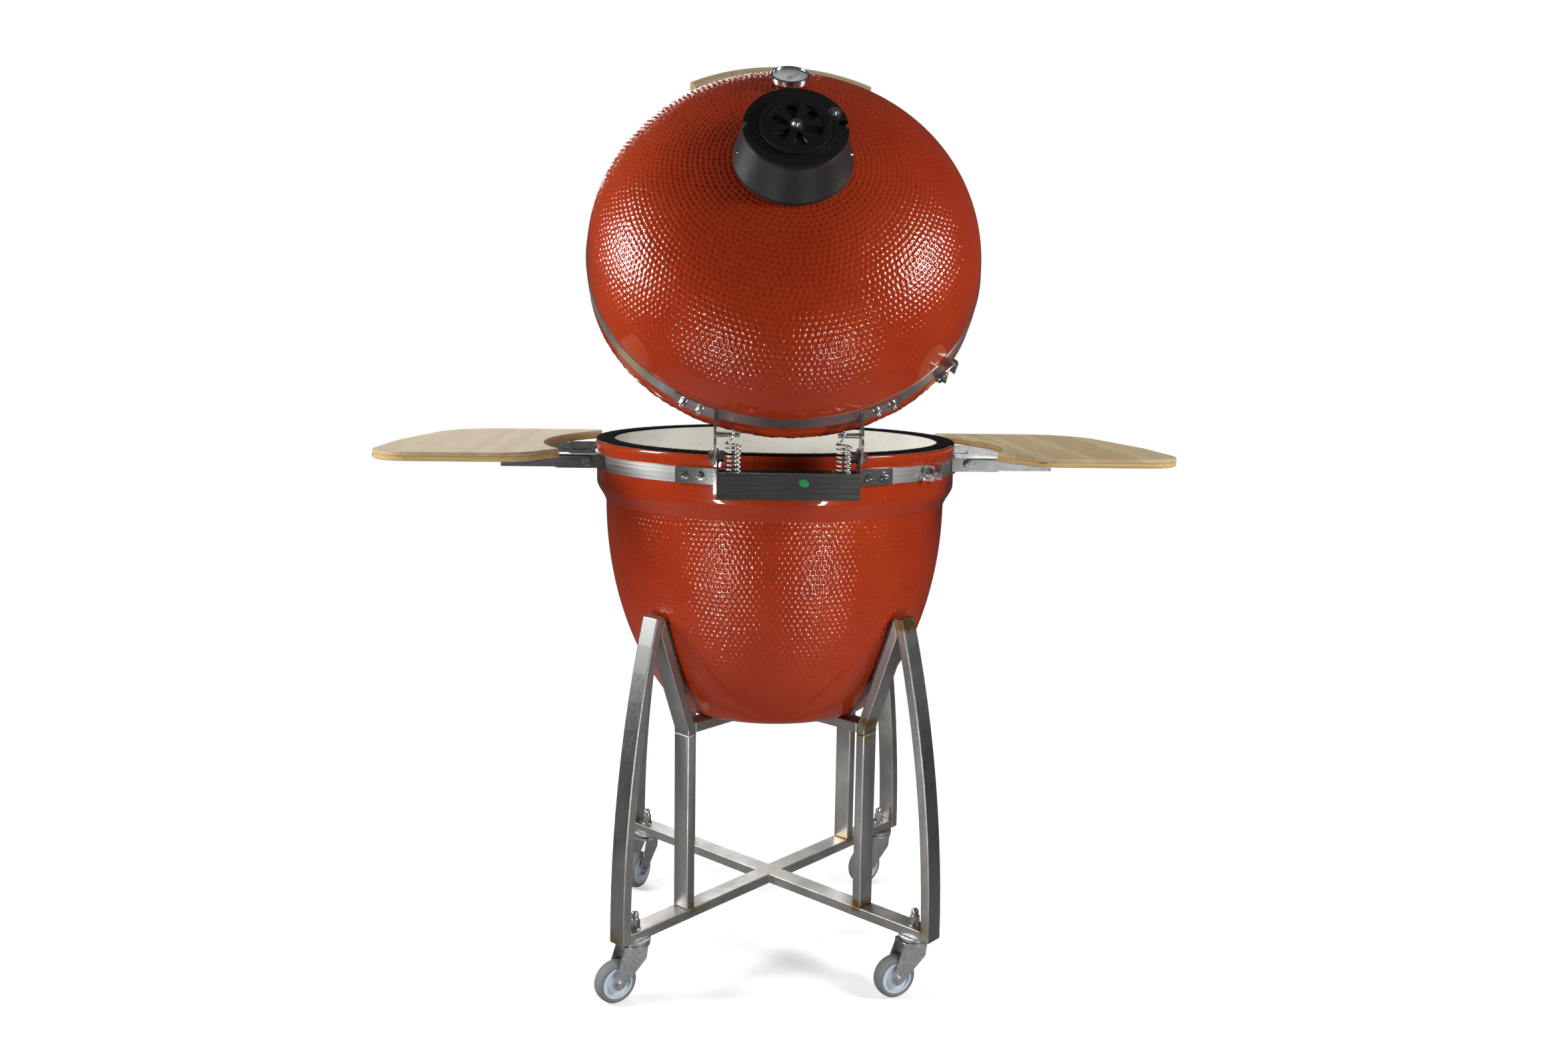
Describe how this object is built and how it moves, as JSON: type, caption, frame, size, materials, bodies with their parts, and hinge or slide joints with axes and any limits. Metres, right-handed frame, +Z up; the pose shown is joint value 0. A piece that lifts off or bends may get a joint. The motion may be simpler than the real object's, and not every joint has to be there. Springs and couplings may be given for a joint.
{
  "type": "kamado ceramic grill",
  "caption": "Egg-shaped ceramic charcoal grill with a sprung hinged lid, chimney damper, folding bamboo side shelves and a steel stand on swivel casters.",
  "frame": {"origin": "on the floor, on the vertical axis of the bowl", "axes": "+Z up; -Y to the front, where the handle and draft door are; +Y to the hinge; +X to the left of someone behind the hinge"},
  "size_m": [1.144, 0.6635, 1.3529],
  "materials": {
    "glazed_ceramic": "glossy red glaze with rows of small dimples",
    "fire_clay": "unglazed",
    "brushed_steel": "brushed, satin",
    "stand_steel": "brushed, with heat tint at the welds",
    "bright_steel": "polished",
    "zinc_steel": "zinc plated",
    "cast_iron": "satin black",
    "felt": "fibrous black felt",
    "grey_felt": "dense grey felt",
    "bamboo": "oiled laminated bamboo",
    "dial": "white dial",
    "needle": "black",
    "gauge_glass": "clear",
    "hub_plastic": "pale blue-grey",
    "tyre_rubber": "grey rubber"
  },
  "bodies": {
    "grill_body": {"base_bowl": "glazed_ceramic", "fire_box": "fire_clay", "fire_ring": "fire_clay", "charcoal_grate": "cast_iron", "lower_gasket": "felt", "lower_band": "brushed_steel", "lower_band_bolts": "bright_steel", "hinge_channel": "brushed_steel", "pivot_bolts": "bright_steel", "spring_left": "brushed_steel", "spring_right": "brushed_steel", "shelf_brackets": "brushed_steel", "shelf_bolts": "bright_steel", "draft_frame": "brushed_steel", "bottom_cross": "stand_steel", "cradle_cross": "stand_steel", "stand_legs": "stand_steel", "stand_posts": "stand_steel", "stand_supports": "stand_steel", "felt_pads": "grey_felt", "cap_nuts": "bright_steel", "caster_stems": "zinc_steel"},
    "lid": {"dome_lid": "glazed_ceramic", "upper_gasket": "felt", "upper_band": "brushed_steel", "upper_band_bolts": "bright_steel", "hinge_arm_left": "brushed_steel", "hinge_arm_right": "brushed_steel", "vent_collar": "cast_iron", "vent_screws": "bright_steel", "thermometer_case": "bright_steel", "thermometer_dial": "dial", "thermometer_glass": "gauge_glass", "thermometer_stem": "bright_steel", "handle": "bamboo", "handle_brackets": "brushed_steel"},
    "cooking_grid": {"cooking_grid": "bright_steel"},
    "vent_cap": {"vent_cap": "cast_iron", "daisy_rivet": "bright_steel"},
    "daisy_wheel": {"daisy_wheel": "cast_iron"},
    "pointer": {"thermometer_pointer": "needle"},
    "shelf_left": {"shelf_left": "bamboo", "shelf_arms_left": "brushed_steel"},
    "shelf_right": {"shelf_right": "bamboo", "shelf_arms_right": "brushed_steel"},
    "draft_door": {"draft_door": "brushed_steel"},
    "draft_screen": {"draft_screen": "brushed_steel"},
    "caster_1": {"caster_fork_1": "zinc_steel"},
    "wheel_1": {"caster_hub_1": "hub_plastic", "caster_tyre_1": "tyre_rubber"},
    "caster_2": {"caster_fork_2": "zinc_steel"},
    "wheel_2": {"caster_hub_2": "hub_plastic", "caster_tyre_2": "tyre_rubber"},
    "caster_3": {"caster_fork_3": "zinc_steel"},
    "wheel_3": {"caster_hub_3": "hub_plastic", "caster_tyre_3": "tyre_rubber"},
    "caster_4": {"caster_fork_4": "zinc_steel"},
    "wheel_4": {"caster_hub_4": "hub_plastic", "caster_tyre_4": "tyre_rubber"}
  },
  "joints": [
    {"name": "lid_hinge", "type": "hinge", "parent": "grill_body", "child": "lid", "pos_m": [0, 0.3, 0.803], "axis": [1, 0, 0], "range_deg": [0, 53], "stiffness_Nm_per_rad": 30, "springref_deg": -51.57, "deforming": ["spring_left", "spring_right"]},
    {"name": "vent_cap_swing", "type": "hinge", "parent": "lid", "child": "vent_cap", "pos_m": [-0.049, 0.32882, 1.23291], "axis": [0, 0.7986, 0.6018], "range_deg": [0, 100]},
    {"name": "daisy_wheel_turn", "type": "hinge", "parent": "vent_cap", "child": "daisy_wheel", "pos_m": [0, 0.34446, 1.21215], "axis": [0, 0.7986, 0.6018], "range_deg": [-30, 30]},
    {"name": "thermometer_needle", "type": "hinge", "parent": "lid", "child": "pointer", "pos_m": [0, 0.21109, 1.29999], "axis": [0, -0.5446, -0.8387], "range_deg": [0, 270], "stiffness_Nm_per_rad": 0.0005},
    {"name": "shelf_left_fold", "type": "hinge", "parent": "grill_body", "child": "shelf_left", "pos_m": [0.28, 0, 0.774], "axis": [0, 1, 0], "range_deg": [0, 90]},
    {"name": "shelf_right_fold", "type": "hinge", "parent": "grill_body", "child": "shelf_right", "pos_m": [-0.28, 0, 0.774], "axis": [0, -1, 0], "range_deg": [0, 90]},
    {"name": "cooking_grid_lift", "type": "slide", "parent": "grill_body", "child": "cooking_grid", "axis": [0, 0, 1], "range_m": [0, 0.1]},
    {"name": "draft_door_slide", "type": "slide", "parent": "grill_body", "child": "draft_door", "axis": [1, 0, 0], "range_m": [0, 0.09]},
    {"name": "draft_screen_slide", "type": "slide", "parent": "grill_body", "child": "draft_screen", "axis": [-1, 0, 0], "range_m": [0, 0.09]},
    {"name": "caster_swivel_1", "type": "hinge", "parent": "grill_body", "child": "caster_1", "pos_m": [0.2047, 0.2047, 0.085], "axis": [0, 0, 1], "continuous": true},
    {"name": "wheel_spin_1", "type": "hinge", "parent": "caster_1", "child": "wheel_1", "pos_m": [0.23241, 0.2207, 0.031], "axis": [0.5, -0.866, 0], "continuous": true},
    {"name": "caster_swivel_2", "type": "hinge", "parent": "grill_body", "child": "caster_2", "pos_m": [-0.2047, 0.2047, 0.085], "axis": [0, 0, 1], "continuous": true},
    {"name": "wheel_spin_2", "type": "hinge", "parent": "caster_2", "child": "wheel_2", "pos_m": [-0.17463, 0.21565, 0.031], "axis": [0.342, -0.9397, 0], "continuous": true},
    {"name": "caster_swivel_3", "type": "hinge", "parent": "grill_body", "child": "caster_3", "pos_m": [0.2047, -0.2047, 0.085], "axis": [0, 0, 1], "continuous": true},
    {"name": "wheel_spin_3", "type": "hinge", "parent": "caster_3", "child": "wheel_3", "pos_m": [0.2207, -0.17699, 0.031], "axis": [0.866, -0.5, 0], "continuous": true},
    {"name": "caster_swivel_4", "type": "hinge", "parent": "grill_body", "child": "caster_4", "pos_m": [-0.2047, -0.2047, 0.085], "axis": [0, 0, 1], "continuous": true},
    {"name": "wheel_spin_4", "type": "hinge", "parent": "caster_4", "child": "wheel_4", "pos_m": [-0.17849, -0.18635, 0.031], "axis": [0.5736, -0.8192, 0], "continuous": true}
  ]
}
